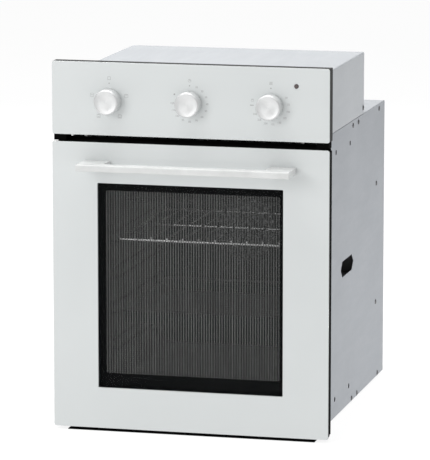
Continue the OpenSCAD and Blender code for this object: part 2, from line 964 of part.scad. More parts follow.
module minute_timer() {
    x = knob_xs[1];
    y1 = switch_y + 34;
    color("gainsboro")
        difference() {
            union() {
                rod_y(x, switch_y, y1, knob_z, 25);
                rod_y(x, y1, y1 + 8, knob_z, 14);
                switch_neck(x);
            }
            shaft_bore(x);
        }
}

module thermostat() {
    x = knob_xs[2];
    y1 = switch_y + 26;
    color("gainsboro")
        difference() {
            union() {
                box([x - 18, x + 18], [switch_y, y1], [knob_z - 18, knob_z + 18]);
                rod_y(x, y1, y1 + 10, knob_z, 15);
                switch_neck(x);
            }
            shaft_bore(x);
        }
}

// Block with a pocket for each of three conductors, beside the cable gland
module terminal_block() {
    x = gland_x - 33;
    y0 = case_depth - 34;
    color("ivory")
        difference() {
            box([x - 15, x + 15], [y0, case_depth - sheet_t - fit],
                [gland_z - 14, gland_z + 14]);
            row_x(3, 8, [5, 24, 16], [x, y0, gland_z]);
        }
}

module cable_gland() {
    color("black")
        difference() {
            union() {
                rod_y(gland_x, case_depth - 14, case_depth + 4, gland_z, gland_r);
                rod_y(gland_x, case_depth, case_depth + 4, gland_z, gland_r + 3.5);
                rod_y(gland_x, case_depth - 6, case_depth - sheet_t, gland_z, gland_r + 3);
            }
            rod_y(gland_x, case_depth - 15, case_depth + 5, gland_z, cable_hole_r);
        }
}

module control_glass() {
    color("whitesmoke")
        difference() {
            upright(front_y, glass_t)
                translate([0, (panel_z0 + panel_z1) / 2])
                    rounded(front_w, panel_h, glass_r);
            for (x = knob_xs)
                rod_y(x, front_y - 1, glass_back + 1, knob_z, shaft_d / 2 + 3);
            rod_y(lamp_x, front_y - 1, glass_back + 1, panel_z0 + lamp_rise,
                lamp_d / 2 + fit);
        }
}

// Tray behind the control glass, with four posts back to the control bracket
module panel_carrier() {
    x1 = front_w / 2 - 0.5;
    z0 = panel_z0 + 1;
    z1 = panel_z1 - 0.5;
    rim = 2;
    plate = glass_back + carrier_t;
    color("dimgray")
        difference() {
            union() {
                difference() {
                    box([-x1, x1], [glass_back, frame_front], [z0, z1]);
                    box([rim - x1, x1 - rim], [plate, 1], [z0 + rim, z1 - rim]);
                }
                for (x = [knob_pitch / 2, knob_pitch + 50], side = [-1, 1])
                    rod_y(side * x, plate - 0.5, control_y, knob_z, 4);
            }
            for (x = knob_xs)
                rod_y(x, glass_back - 1, plate + 1, knob_z, shaft_d / 2 + 3);
            rod_y(lamp_x, glass_back - 1, plate + 1, panel_z0 + lamp_rise, lamp_d / 2 + fit);
        }
}

module indicator_lens() {
    plate = glass_back + carrier_t;
    color("darkred") {
        rod_y(lamp_x, front_y - 0.6, plate + 3, panel_z0 + lamp_rise, lamp_d / 2);
        rod_y(lamp_x, plate, plate + 3, panel_z0 + lamp_rise, lamp_d / 2 + 2);
    }
}

// Louvre in the gap under the control glass, between two end blocks
module vent_grille() {
    x0 = case_w / 2 + 4;
    x1 = front_w / 2 - 2;
    z = [door_z1 + 1.5, panel_z0 + 1];
    y1 = frame_front - fit;
    slots = 20;
    pitch = 2 * x0 / slots;
    slot_h = z[1] - z[0] - 5.5;
    color("black")
        difference() {
            union() {
                both_sides()
                    box([x0, x1], [glass_back, y1], z);
                box([-x0, x0], [y1 - 1.4, y1], z);
            }
            row_x(slots, pitch, [pitch - 6, 4, slot_h], [0, y1 - 1, (z[0] + z[1]) / 2]);
        }
}

// ---- hinges --------------------------------------------------------------------------

module hinge_arms() {
    color("slategray")
        both_sides()
            sideways(arm_x - arm_t / 2, arm_t)
                difference() {
                    union() {
                        translate([pivot_y, pivot_z])
                            circle(arm_r);
                        translate([pivot_y, pivot_z - arm_r])
                            square([arm_rear - pivot_y, 2 * arm_r]);
                    }
                    translate([pivot_y, pivot_z])
                        circle(pin_d / 2 + turn_gap);
                    translate([hook_y, pivot_z - arm_r - 1])
                        square([hook_w, arm_r + 2]);
                }
}

module hinge_receivers() {
    cheek_in = arm_t / 2 + 0.5;
    cheek_out = cheek_in + 1.5;
    z0 = pivot_z - arm_r - 5;
    z1 = wool_z0 - 2;
    roller_r = hook_w / 2 - 0.6;
    color("silver")
        both_sides()
            translate([arm_x, 0, 0]) {
                box([-cheek_out, -cheek_in], [0, arm_rear + 8], [z0, z1]);
                box([cheek_in, cheek_out], [0, arm_rear + 8], [z0, z1]);
                box([-cheek_out, cheek_out], [0, arm_rear + 8], [z0 - 1.5, z0]);
                rod_x(-cheek_out, cheek_out, hook_y + hook_w / 2,
                    pivot_z + 0.6 - roller_r, roller_r);
            }
}

module hinge_channels() {
    half = channel_w / 2;
    inner = half - channel_t;
    color("slategray")
        both_sides()
            translate([arm_x, 0, 0])
                difference() {
                    box([-half, half], [channel_front, channel_back],
                        [profile_z0, channel_top]);
                    box([-inner, inner], [channel_front + channel_t, channel_back + 1],
                        [profile_z0 - 1, spring_z1 + fit]);
                    box([-inner, inner], [channel_front + channel_t, channel_back + 1],
                        [spring_z1 + 2, channel_top + 1]);
                    box([-inner, inner], [channel_front - 1, channel_back + 1],
                        [profile_z0 - 1, pivot_z + arm_r + 4]);
                    rod_x(-half - 1, half + 1, pivot_y, pivot_z, pin_d / 2);
                    rod_z(0, channel_mid, spring_z1, spring_z1 + 3, spring_rod_r + fit);
                }
}

module hinge_pins() {
    half = channel_w / 2;
    color("silver")
        both_sides()
            rod_x(arm_x - half, arm_x + half, pivot_y, pivot_z, pin_d / 2);
}

// Coil spring, drawn as a ribbed sleeve, on its pull rod
module hinge_springs() {
    step = (spring_z1 - spring_z0) / (2 * spring_coils);
    ribs = [for (i = [0 : 2 * spring_coils])
        [i % 2 == 0 ? spring_r - 1.2 : spring_r, spring_z0 + i * step]];
    color("slategray")
        both_sides()
            translate([arm_x, channel_mid, 0]) {
                rotate_extrude()
                    polygon(concat(ribs, [[spring_in_r, spring_z1], [spring_in_r, spring_z0]]));
                rod_z(0, 0, pivot_z + arm_r + 3, spring_z1 + 8, spring_rod_r);
            }
}

// ---- door ----------------------------------------------------------------------------

module door_outer_glass() {
    color("whitesmoke")
        difference() {
            upright(front_y, glass_t)
                translate([0, (door_z0 + door_z1) / 2])
                    rounded(front_w, door_h, glass_r);
            for (x = [-1, 1])
                rod_y(x * bracket_x, front_y - 1, glass_back + 1, handle_z,
                    handle_screw_d / 2 + 0.5);
        }
}

module door_inner_glass() {
    color("dimgray")
        upright(inner_glass_y, inner_glass_t)
            translate([0, (inner_glass_z0 + inner_glass_z1) / 2])
                rounded(2 * inner_glass_x, inner_glass_z1 - inner_glass_z0, 3);
}

module door_profiles() {
    color("black")
        both_sides()
            difference() {
                box([profile_in, profile_out], [glass_back, door_back],
                    [profile_z0, profile_z1]);
                box([profile_in - 1, profile_out - profile_t],
                    [glass_back + profile_t, door_back - profile_t],
                    [profile_z0 - 1, profile_z1 + 1]);
            }
}

module door_top_cap() {
    slots = 12;
    pitch = 2 * inner_glass_x / slots;
    color("black")
        difference() {
            union() {
                box([-profile_out, profile_out], [glass_back, door_back],
                    [profile_z1, profile_z1 + cap_t]);
                box([-inner_glass_x, inner_glass_x], [inner_glass_y, door_back],
                    [inner_glass_z1 + fit, profile_z1]);
            }
            row_x(slots, pitch, [pitch - 10, 6, 2 * cap_t + 2],
                [0, glass_back + 6, profile_z1 + cap_t / 2]);
        }
}

module door_bottom_rail() {
    x1 = arm_x - channel_w / 2 - fit;
    z1 = inner_glass_z0 - fit;
    color("black")
        difference() {
            box([-x1, x1], [glass_back, door_back], [profile_z0, z1]);
            box([-x1 - 1, x1 + 1], [glass_back + profile_t, door_back - profile_t],
                [profile_z0 + profile_t, z1 + 1]);
        }
}

module handle_bar() {
    color("white")
        sideways(-handle_len / 2, handle_len)
            translate([handle_front + handle_d / 2, handle_z])
                rounded(handle_d, handle_h, 1.5);
}

module handle_brackets() {
    y0 = handle_front + handle_d;
    color("white")
        both_sides()
            difference() {
                sideways(bracket_x - bracket_w / 2, bracket_w)
                    translate([(y0 + front_y) / 2, handle_z])
                        square([front_y - y0, handle_h], center = true);
                rod_y(bracket_x, front_y - handle_screw_in, front_y + 1, handle_z,
                    handle_screw_d / 2 + turn_gap);
            }
}

module handle_screws() {
    color("silver")
        both_sides() {
            rod_y(bracket_x, front_y - handle_screw_in + 2, glass_back, handle_z,
                handle_screw_d / 2);
            rod_y(bracket_x, glass_back, glass_back + 2.4, handle_z, handle_screw_d + 0.2);
        }
}

// ---- knobs and shafts ----------------------------------------------------------------

// Turned knob: straight body with a rounded front edge, on a blind bore
module knob(x) {
    r = knob_d / 2;
    edge = 2.5;
    bore = shaft_d / 2 + turn_gap;
    bore_end = knob_proud - 6;
    color("silver")
        translate([x, front_y, knob_z])
            rotate([90, 0, 0])
                rotate_extrude()
                    difference() {
                        union() {
                            translate([0, 1])
                                square([r, knob_proud - edge - 1]);
                            translate([0, 1])
                                square([r - edge, knob_proud - 1]);
                            translate([r - edge, knob_proud - edge])
                                circle(edge);
                        }
                        square([bore, bore_end]);
                    }
}

module function_knob() {
    knob(knob_xs[0]);
}

module timer_knob() {
    knob(knob_xs[1]);
}

module thermostat_knob() {
    knob(knob_xs[2]);
}

module control_shaft(x) {
    color("gray")
        rod_y(x, front_y - knob_proud + 7, switch_y + shaft_in, knob_z, shaft_d / 2);
}

module function_shaft() {
    control_shaft(knob_xs[0]);
}

module timer_shaft() {
    control_shaft(knob_xs[1]);
}

module thermostat_shaft() {
    control_shaft(knob_xs[2]);
}

side_panel_left();
side_panel_right();
base_panel();
rear_panel();
casing_top();
control_cover();
front_frame();
bottom_trim();
support_pads();
casing_screws();
grip_cups();
cavity_liner();
insulation();
door_seal();
rack_left();
rack_right();
grill_element();
lower_element();
ring_element();
fan_guard();
fan_motor();
oven_lamp_lens();
oven_lamp_holder();
blower_housing();
blower_motor();
air_duct();
terminal_block();
cable_gland();
control_bracket();
function_switch();
minute_timer();
thermostat();
sensor_bulb();
control_glass();
panel_carrier();
indicator_lens();
vent_grille();
hinge_arms();
hinge_receivers();
function_knob();
timer_knob();
thermostat_knob();
function_shaft();
timer_shaft();
thermostat_shaft();
convection_fan();
blower_wheel();
wire_shelf();
baking_tray();
door_outer_glass();
door_inner_glass();
door_profiles();
door_top_cap();
door_bottom_rail();
hinge_channels();
hinge_pins();
hinge_springs();
handle_bar();
handle_brackets();
handle_screws();
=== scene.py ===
"""Looks of a built-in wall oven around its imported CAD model. Metres, +Z up, the glass faces -Y."""
import math

import bmesh
import bpy
from mathutils import Matrix, Vector


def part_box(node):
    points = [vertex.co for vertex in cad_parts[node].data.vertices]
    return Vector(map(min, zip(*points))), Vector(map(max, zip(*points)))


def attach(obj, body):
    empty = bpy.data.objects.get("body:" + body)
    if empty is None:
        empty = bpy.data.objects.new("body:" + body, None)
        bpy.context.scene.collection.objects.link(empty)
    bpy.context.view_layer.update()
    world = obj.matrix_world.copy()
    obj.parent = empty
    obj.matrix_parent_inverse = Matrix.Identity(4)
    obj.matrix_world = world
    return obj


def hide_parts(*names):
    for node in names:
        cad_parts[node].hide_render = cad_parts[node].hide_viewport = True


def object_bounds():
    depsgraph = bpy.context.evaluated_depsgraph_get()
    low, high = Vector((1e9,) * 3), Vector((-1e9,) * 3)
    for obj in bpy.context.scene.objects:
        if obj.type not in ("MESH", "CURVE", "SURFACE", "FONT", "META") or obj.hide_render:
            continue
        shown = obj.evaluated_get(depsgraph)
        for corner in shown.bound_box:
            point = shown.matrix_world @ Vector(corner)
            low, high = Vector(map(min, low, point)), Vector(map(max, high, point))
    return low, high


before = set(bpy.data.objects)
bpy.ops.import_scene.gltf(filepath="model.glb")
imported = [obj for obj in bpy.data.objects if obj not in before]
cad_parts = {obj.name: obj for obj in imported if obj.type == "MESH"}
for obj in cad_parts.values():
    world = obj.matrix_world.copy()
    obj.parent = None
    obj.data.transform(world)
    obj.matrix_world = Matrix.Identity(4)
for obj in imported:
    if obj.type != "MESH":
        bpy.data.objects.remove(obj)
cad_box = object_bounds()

MM = 0.001
# plain holes of the side panels: places along them, distances from their ends, and size
PLAIN_Y = (145 * MM, 254 * MM)
PLAIN_ABOVE_FOOT = 30 * MM
PLAIN_UNDER_TOP = 34 * MM
PLAIN_R = 4 * MM
# faces nearer than this to a plain hole's middle are its walls, coloured black as painted shade
PLAIN_HOLE_SHADE_R = 4.1 * MM
# screw heads of the casing
HEAD_R = 4 * MM
HEAD_H = 1.6 * MM
# window in the door's white print: distances from the pane's edges
WINDOW_SIDE = 74 * MM
WINDOW_BELOW = 66.3 * MM
WINDOW_ABOVE = 65 * MM
# dot screen of the inner pane
SCREEN_HALF = 142.5 * MM
SCREEN_Z = (92 * MM, 388 * MM)
# camera, fitted to the corners of the front and the casing in the photo
CAMERA_PLACE = (1.4291, -5.5883, 1.3056)
CAMERA_DOWN = 0.1678
CAMERA_TURN = 0.2445
CAMERA_LENS = 288.87
CAMERA_SENSOR = 36
WORLD_STRENGTH = 0.4
FLOOR_SIDE = 400.0
FLOOR_GAP = 0.0002
KNOBS = ("function_knob", "timer_knob", "thermostat_knob")


# ---- node materials -------------------------------------------------------------------

class Shader:
    """A material with one Principled shader, and short ways to add texture nodes to it."""

    def __init__(self, name, **values):
        self.material = bpy.data.materials.new(name)
        self.material.use_nodes = True
        self.tree = self.material.node_tree
        self.tree.nodes.clear()
        out = self.node("ShaderNodeOutputMaterial")
        self.main = self.node("ShaderNodeBsdfPrincipled")
        self.tree.links.new(self.main.outputs[0], out.inputs["Surface"])
        for key, value in values.items():
            socket = self.main.inputs[key.replace("_", " ")]
            socket.default_value = (*value, 1.0) if isinstance(value, tuple) else value
        self.normal = None

    def node(self, kind, **settings):
        made = self.tree.nodes.new(kind)
        for key, value in settings.items():
            setattr(made, key, value)
        return made

    def link(self, source, target):
        self.tree.links.new(source, target)

    def place(self, scale=(1, 1, 1)):
        """Coordinates on the object, in metres, stretched by scale."""
        coords = self.node("ShaderNodeTexCoord")
        mapping = self.node("ShaderNodeMapping")
        mapping.inputs["Scale"].default_value = scale
        self.link(coords.outputs["Object"], mapping.inputs["Vector"])
        return mapping.outputs["Vector"]

    def noise(self, scale, detail=3.0, rough=0.5, stretch=(1, 1, 1)):
        noise = self.node("ShaderNodeTexNoise")
        noise.inputs["Scale"].default_value = scale
        noise.inputs["Detail"].default_value = detail
        noise.inputs["Roughness"].default_value = rough
        self.link(self.place(stretch), noise.inputs["Vector"])
        return noise.outputs["Fac"]

    def cells(self, scale):
        cells = self.node("ShaderNodeTexVoronoi")
        cells.inputs["Scale"].default_value = scale
        self.link(self.place(), cells.inputs["Vector"])
        return cells

    def spread(self, value, low, high, source=(0.3, 0.7)):
        """A value from one range to another, held at its ends."""
        span = self.node("ShaderNodeMapRange")
        span.inputs["From Min"].default_value = source[0]
        span.inputs["From Max"].default_value = source[1]
        span.inputs["To Min"].default_value = low
        span.inputs["To Max"].default_value = high
        self.link(value, span.inputs["Value"])
        return span.outputs["Result"]

    def colours(self, value, stops):
        ramp = self.node("ShaderNodeValToRGB")
        band = ramp.color_ramp
        while len(band.elements) < len(stops):
            band.elements.new(0.5)
        for element, (place, colour) in zip(band.elements, stops):
            element.position = place
            element.color = (*colour, 1.0)
        self.link(value, ramp.inputs["Fac"])
        return ramp.outputs["Color"]

    def colour_from(self, value, dark, light, source=(0.3, 0.7)):
        self.link(self.colours(self.spread(value, 0, 1, source), [(0, dark), (1, light)]),
                  self.main.inputs["Base Color"])
        return self

    def rough_from(self, value, low, high, source=(0.3, 0.7)):
        self.link(self.spread(value, low, high, source), self.main.inputs["Roughness"])
        return self

    def bump(self, value, depth, strength=1.0):
        """Relief of a depth in metres, on top of any relief that is there."""
        bump = self.node("ShaderNodeBump")
        bump.inputs["Distance"].default_value = depth
        bump.inputs["Strength"].default_value = strength
        self.link(value, bump.inputs["Height"])
        if self.normal is not None:
            self.link(self.normal, bump.inputs["Normal"])
        self.normal = bump.outputs["Normal"]
        self.link(self.normal, self.main.inputs["Normal"])
        return self

    def math(self, operation, first, second=None):
        node = self.node("ShaderNodeMath", operation=operation)
        for socket, value in zip(node.inputs, (first, second)):
            if value is None:
                continue
            if isinstance(value, (int, float)):
                socket.default_value = value
            else:
                self.link(value, socket)
        return node.outputs[0]

    def axes(self):
        coords = self.node("ShaderNodeTexCoord")
        split = self.node("ShaderNodeSeparateXYZ")
        self.link(coords.outputs["Object"], split.inputs[0])
        return split.outputs


def grey(value, tint=(1.0, 1.0, 1.0)):
    return tuple(value * t for t in tint)


def sheet_metal(name, dark, light, metal=0.15, rough=(0.5, 0.62), gloss=0.12):
    """Coated sheet: a faint spangle, the long marks of rolling, and slow unevenness."""
    s = Shader(name, Metallic=metal, Specular_IOR_Level=gloss)
    spangle = s.cells(220).outputs["Color"]
    slow = s.noise(9, 2)
    mixed = s.math("ADD", s.math("MULTIPLY", slow, 0.75), s.math("MULTIPLY", spangle, 0.25))
    s.colour_from(mixed, dark, light, (0.3, 0.75))
    s.rough_from(s.noise(60, 4, 0.6, (1, 0.15, 1)), *rough)
    s.bump(s.noise(26, 2), 0.0006, 0.35)
    s.bump(s.noise(900, 2), 0.00002, 0.6)
    return s.material


def moulded(name, base, rough=(0.42, 0.6), grain=1400, depth=0.00003, gloss=0.4):
    """Moulded plastic or paint: a fine even grain."""
    s = Shader(name, Specular_IOR_Level=gloss)
    s.colour_from(s.noise(40, 3), grey(0.88, base), base)
    s.rough_from(s.noise(300, 3), *rough)
    s.bump(s.noise(grain, 2), depth)
    return s.material


def bright_metal(name, dark, light, rough=(0.12, 0.3), stretch=(1, 1, 1)):
    s = Shader(name, Metallic=1.0)
    s.colour_from(s.noise(150, 3, 0.5, stretch), dark, light)
    s.rough_from(s.noise(400, 4, 0.6, stretch), *rough)
    s.bump(s.noise(1200, 2, 0.5, stretch), 0.00001)
    return s.material


def white_print():
    """White print behind clear glass: deep gloss over an even, slightly cool white."""
    s = Shader("white_glass", Coat_Weight=1.0, Coat_Roughness=0.03, Coat_IOR=1.5,
               Specular_IOR_Level=0.3)
    s.colour_from(s.noise(7, 2), (0.645, 0.672, 0.672), (0.668, 0.694, 0.694))
    s.rough_from(s.noise(160, 3), 0.3, 0.4)
    s.bump(s.noise(12, 1), 0.00008, 0.4)
    return s.material


def glass_edge():
    """Ground edge of a pane: dark green, as the print is only on its back, and darker still as a
    painted reflection of the dark round it.
    """
    s = Shader("glass_edge", Specular_IOR_Level=0.1)
    # painted reflection in part: the edge colour is kept dark for the dark that it reflects
    s.colour_from(s.noise(500, 3), (0.030, 0.042, 0.038), (0.050, 0.066, 0.060))
    s.rough_from(s.noise(900, 3), 0.25, 0.45)
    s.bump(s.noise(2500, 2), 0.00001)
    return s.material


def tinted_window():
    """Clear front pane of the window: mostly seen through, with a low gloss."""
    s = Shader("window_glass", Base_Color=(0.01, 0.012, 0.012), Specular_IOR_Level=0.12)
    s.rough_from(s.noise(20, 2), 0.01, 0.03)
    s.link(s.spread(s.noise(5, 1), 0.10, 0.12), s.main.inputs["Alpha"])
    return s.material


def black_print():
    s = Shader("black_print", Specular_IOR_Level=0.02)
    s.colour_from(s.noise(30, 3), (0.003, 0.003, 0.0035), (0.005, 0.005, 0.0055))
    s.rough_from(s.noise(200, 3), 0.2, 0.35)
    return s.material


def dot_screen(pitch, row):
    """Inner pane: a screen of grey printed dots in straight columns, clear between them."""
    s = Shader("dot_screen", Specular_IOR_Level=0.0)
    x, _, z = s.axes()
    across = s.math("ABSOLUTE", s.math("SINE", s.math("MULTIPLY", x, math.pi / pitch)))
    along = s.math("ABSOLUTE", s.math("SINE", s.math("MULTIPLY", z, math.pi / row)))
    dots = s.math("MULTIPLY", across, s.math("ADD", s.math("MULTIPLY", along, 0.12), 0.88))
    s.colour_from(s.noise(300, 3, 0.5, (1, 1, 0.02)), (0.155, 0.157, 0.155),
                  (0.215, 0.218, 0.215), (0.35, 0.65))
    s.link(s.spread(dots, 0.08, 0.72, (0.6, 0.9)), s.main.inputs["Alpha"])
    s.rough_from(s.noise(200, 2), 0.25, 0.4)
    return s.material


def enamel():
    """Dark enamel with fine pale specks."""
    s = Shader("enamel", Specular_IOR_Level=0.12)
    specks = s.noise(900, 2, 0.7)
    s.link(s.colours(specks, [(0.0, (0.016, 0.017, 0.018)), (0.64, (0.022, 0.023, 0.025)),
                              (0.72, (0.08, 0.08, 0.085))]), s.main.inputs["Base Color"])
    s.rough_from(s.noise(90, 3), 0.4, 0.55)
    s.bump(s.noise(70, 2), 0.0002, 0.3)
    return s.material


def wool():
    s = Shader("insulation", Sheen_Weight=0.3, Specular_IOR_Level=0.1)
    fibres = s.noise(260, 6, 0.7, (1, 1, 5))
    s.colour_from(fibres, (0.11, 0.10, 0.07), (0.24, 0.22, 0.16))
    s.rough_from(fibres, 0.85, 0.98)
    s.bump(fibres, 0.002)
    return s.material


def braid():
    """Woven seal: small ribs across the cord."""
    s = Shader("seal", Specular_IOR_Level=0.3)
    ribs = s.cells(700).outputs["Distance"]
    s.colour_from(ribs, (0.02, 0.02, 0.022), (0.075, 0.075, 0.078), (0.1, 0.6))
    s.rough_from(ribs, 0.6, 0.85)
    s.bump(ribs, 0.0004)
    return s.material


def heated_tube():
    """Element tube: oxidised grey with brown stretches."""
    s = Shader("element", Metallic=0.5)
    patches = s.noise(45, 4, 0.6)
    s.link(s.colours(patches, [(0.3, (0.10, 0.10, 0.105)), (0.55, (0.16, 0.145, 0.13)),
                               (0.75, (0.24, 0.23, 0.22))]), s.main.inputs["Base Color"])
    s.rough_from(s.noise(300, 3), 0.4, 0.7)
    s.bump(s.noise(1500, 2), 0.00003)
    return s.material


def lamp_glass():
    s = Shader("lamp_glass", Transmission_Weight=0.9, IOR=1.47,
               Base_Color=(0.93, 0.95, 0.94))
    s.rough_from(s.noise(200, 2), 0.05, 0.15)
    s.bump(s.cells(320).outputs["Distance"], 0.0006)
    return s.material


def spun_metal_with_painted_fan():
    """Turned knob: rings cut round the axis, their anisotropic gloss, and a fan of light painted
    into the colour by the angle round the axis.
    """
    s = Shader("knob_metal", Metallic=0.55, Anisotropic=0.6)
    x, _, z = s.axes()
    radius = s.math("SQRT", s.math("ADD", s.math("MULTIPLY", x, x), s.math("MULTIPLY", z, z)))
    rings = s.math("SINE", s.math("MULTIPLY", radius, 2 * math.pi / 0.0005))
    angle = s.math("ARCTAN2", z, x)
    # painted highlight: the base colour is lighter and darker by the angle round the axis, as a fan
    # of light
    painted_fan_highlight = s.math("SINE", s.math("ADD", s.math("MULTIPLY", angle, 2.0), -1.6))
    s.colour_from(painted_fan_highlight, (0.66, 0.67, 0.67), (0.74, 0.745, 0.745), (-1, 1))
    s.rough_from(s.noise(300, 3), 0.36, 0.46)
    s.bump(rings, 0.000012, 0.8)
    tangent = s.node("ShaderNodeTangent", direction_type="RADIAL", axis="Y")
    s.link(tangent.outputs[0], s.main.inputs["Tangent"])
    return s.material


def indicator_glass():
    s = Shader("indicator", Coat_Weight=1.0, Coat_Roughness=0.05)
    s.colour_from(s.noise(600, 2), (0.045, 0.030, 0.030), (0.075, 0.045, 0.045))
    s.rough_from(s.noise(900, 2), 0.15, 0.25)
    return s.material


def floor_paint():
    s = Shader("floor_paint", Specular_IOR_Level=0.0, Emission_Color=(1.0, 1.0, 1.0),
               Emission_Strength=0.88)
    s.colour_from(s.noise(0.6, 2), grey(0.19), grey(0.21))
    s.rough_from(s.noise(3, 2), 0.85, 0.95)
    return s.material


MATERIALS = {
    "casing_steel": sheet_metal("casing_steel", (0.350, 0.366, 0.390), (0.373, 0.390, 0.415)),
    "cover_steel": sheet_metal("cover_steel", (0.452, 0.470, 0.490), (0.477, 0.495, 0.515)),
    "black_steel": sheet_metal("black_steel", grey(0.006), grey(0.011), 0.05, (0.6, 0.7), 0.01),
    "black_plastic": moulded("black_plastic", grey(0.004), (0.6, 0.75), gloss=0.004),
    "black_metal": moulded("black_metal", grey(0.005), (0.5, 0.65), 2200, 0.00001, 0.004),
    "panel_plastic": moulded("panel_plastic", grey(0.05), (0.5, 0.65), gloss=0.02),
    "cup_plastic": moulded("cup_plastic", grey(0.10)),
    "screw_steel": bright_metal("screw_steel", grey(0.07), grey(0.12), (0.28, 0.42)),
    "enamel": enamel(),
    "insulation": wool(),
    "seal": braid(),
    "chrome_wire": bright_metal("chrome_wire", grey(0.90), grey(0.98), (0.15, 0.25)),
    "element": heated_tube(),
    "zinc": sheet_metal("zinc", grey(0.48), grey(0.62), 0.7, (0.35, 0.5), 0.4),
    "lamp_glass": lamp_glass(),
    "lamp_ceramic": moulded("lamp_ceramic", (0.78, 0.76, 0.72), (0.3, 0.5), 900, 0.00004),
    "switch_plastic": moulded("switch_plastic", (0.68, 0.64, 0.55), (0.35, 0.5)),
    "white_glass": white_print(),
    "inner_glass": dot_screen(4.2 * MM, 3.4 * MM),
    "indicator": indicator_glass(),
    "hinge_steel": bright_metal("hinge_steel", grey(0.42), grey(0.55), (0.3, 0.45)),
    "knob_metal": spun_metal_with_painted_fan(),
    "shaft_steel": bright_metal("shaft_steel", grey(0.5), grey(0.65), (0.2, 0.35), (1, 0.1, 1)),
    "fan_metal": bright_metal("fan_metal", grey(0.55), grey(0.7), (0.25, 0.4)),
    "handle_white": moulded("handle_white", (0.725, 0.735, 0.73), (0.3, 0.42), 2600, 0.000002),
}
GLASS_EDGE = glass_edge()
WINDOW_GLASS = tinted_window()
BLACK_PRINT = black_print()


# ---- mesh helpers ---------------------------------------------------------------------

def new_object(name, mesh, *materials):
    piece = bpy.data.objects.new(name, mesh)
    bpy.context.scene.collection.objects.link(piece)
    for material in materials:
        mesh.materials.append(material)
    return piece


def smooth(mesh, angle=35):
    """Smooth shading across soft edges only."""
    mesh.shade_smooth()
    mesh.set_sharp_from_angle(angle=math.radians(angle))


def settle(piece, body, slot, *nodes):
    """Rides a piece on its body, in place of CAD nodes; the slot is not used."""
    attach(piece, body)
    if nodes:
        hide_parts(*nodes)
    return piece


def rounded_points(u0, u1, v0, v1, radius, steps=6):
    """Corner points of a rounded rectangle, anticlockwise."""
    points = []
    for cu, cv, start in ((u1 - radius, v0 + radius, -90), (u1 - radius, v1 - radius, 0),
                          (u0 + radius, v1 - radius, 90), (u0 + radius, v0 + radius, 180)):
        for i in range(steps + 1):
            angle = math.radians(start + 90 * i / steps)
            points.append((cu + radius * math.cos(angle), cv + radius * math.sin(angle)))
    return points


def circle_points(u, v, radius, steps=32):
    return [(u + radius * math.cos(2 * math.pi * i / steps),
             v + radius * math.sin(2 * math.pi * i / steps)) for i in range(steps)]


# How a flat outline (u, v) and its thickness w lie in space
FACING_FRONT = Matrix(((1, 0, 0, 0), (0, 0, 1, 0), (0, 1, 0, 0), (0, 0, 0, 1)))
FACING_SIDE = Matrix(((0, 0, 1, 0), (1, 0, 0, 0), (0, 1, 0, 0), (0, 0, 0, 1)))


def plate_mesh(name, outlines, w0, w1, lie, bevel=0.0, steps=2):
    """Plate from flat outlines, the first its edge and the others holes, between w0 and w1."""
    curve = bpy.data.curves.new(name, "CURVE")
    curve.dimensions = "2D"
    curve.fill_mode = "BOTH"
    curve.extrude = (w1 - w0) / 2 - bevel
    curve.bevel_depth = bevel
    curve.bevel_resolution = steps
    curve.offset = -bevel
    for outline in outlines:
        spline = curve.splines.new("POLY")
        spline.points.add(len(outline) - 1)
        for point, (u, v) in zip(spline.points, outline):
            point.co = (u, v, 0, 1)
        spline.use_cyclic_u = True
    holder = bpy.data.objects.new(name, curve)
    bpy.context.scene.collection.objects.link(holder)
    seen = holder.evaluated_get(bpy.context.evaluated_depsgraph_get())
    mesh = bpy.data.meshes.new_from_object(seen)
    bpy.data.objects.remove(holder)
    bpy.data.curves.remove(curve)
    mesh.transform(lie @ Matrix.Translation((0, 0, (w0 + w1) / 2)))
    shape = bmesh.new()
    shape.from_mesh(mesh)
    bmesh.ops.remove_doubles(shape, verts=shape.verts, dist=1e-6)
    bmesh.ops.recalc_face_normals(shape, faces=shape.faces)
    shape.to_mesh(mesh)
    shape.free()
    mesh.shade_flat()
    return mesh


def lathe_mesh(name, profile, place, steps=64):
    """Turned solid about the front-to-back axis: profile of (radius, distance forward)."""
    shape = bmesh.new()
    rings = []
    for radius, forward in profile:
        if radius == 0:
            rings.append([shape.verts.new((0, -forward, 0))])
            continue
        rings.append([shape.verts.new((radius * math.cos(2 * math.pi * i / steps), -forward,
                                       radius * math.sin(2 * math.pi * i / steps)))
                      for i in range(steps)])
    for inner, outer in zip(rings, rings[1:]):
        for i in range(steps):
            j = (i + 1) % steps
            corners = [inner[i % len(inner)], inner[j % len(inner)],
                       outer[j % len(outer)], outer[i % len(outer)]]
            shape.faces.new(list(dict.fromkeys(corners)))
    bmesh.ops.recalc_face_normals(shape, faces=shape.faces)
    mesh = bpy.data.meshes.new(name)
    shape.to_mesh(mesh)
    shape.free()
    mesh.transform(Matrix.Translation(place))
    smooth(mesh)
    return mesh


def box_mesh(name, low, high, bevel, segments):
    """Block with rounded edges."""
    shape = bmesh.new()
    bmesh.ops.create_cube(shape, size=1)
    size = Vector(high) - Vector(low)
    middle = (Vector(high) + Vector(low)) / 2
    bmesh.ops.scale(shape, vec=size, verts=shape.verts)
    bmesh.ops.translate(shape, vec=middle, verts=shape.verts)
    bmesh.ops.bevel(shape, geom=shape.edges[:], offset=bevel, segments=segments, profile=0.5,
                    affect="EDGES")
    mesh = bpy.data.meshes.new(name)
    shape.to_mesh(mesh)
    shape.free()
    mesh.shade_flat()
    return mesh


def join_meshes(name, meshes):
    shape = bmesh.new()
    for mesh in meshes:
        shape.from_mesh(mesh)
    joined = bpy.data.meshes.new(name)
    shape.to_mesh(joined)
    shape.free()
    return joined


def edge_material(mesh, index):
    """Gives the faces round a pane's edge, which don't look forward or back, another slot."""
    forward_limit = 0.2
    for face in mesh.polygons:
        if abs(face.normal.y) < forward_limit:
            face.material_index = index


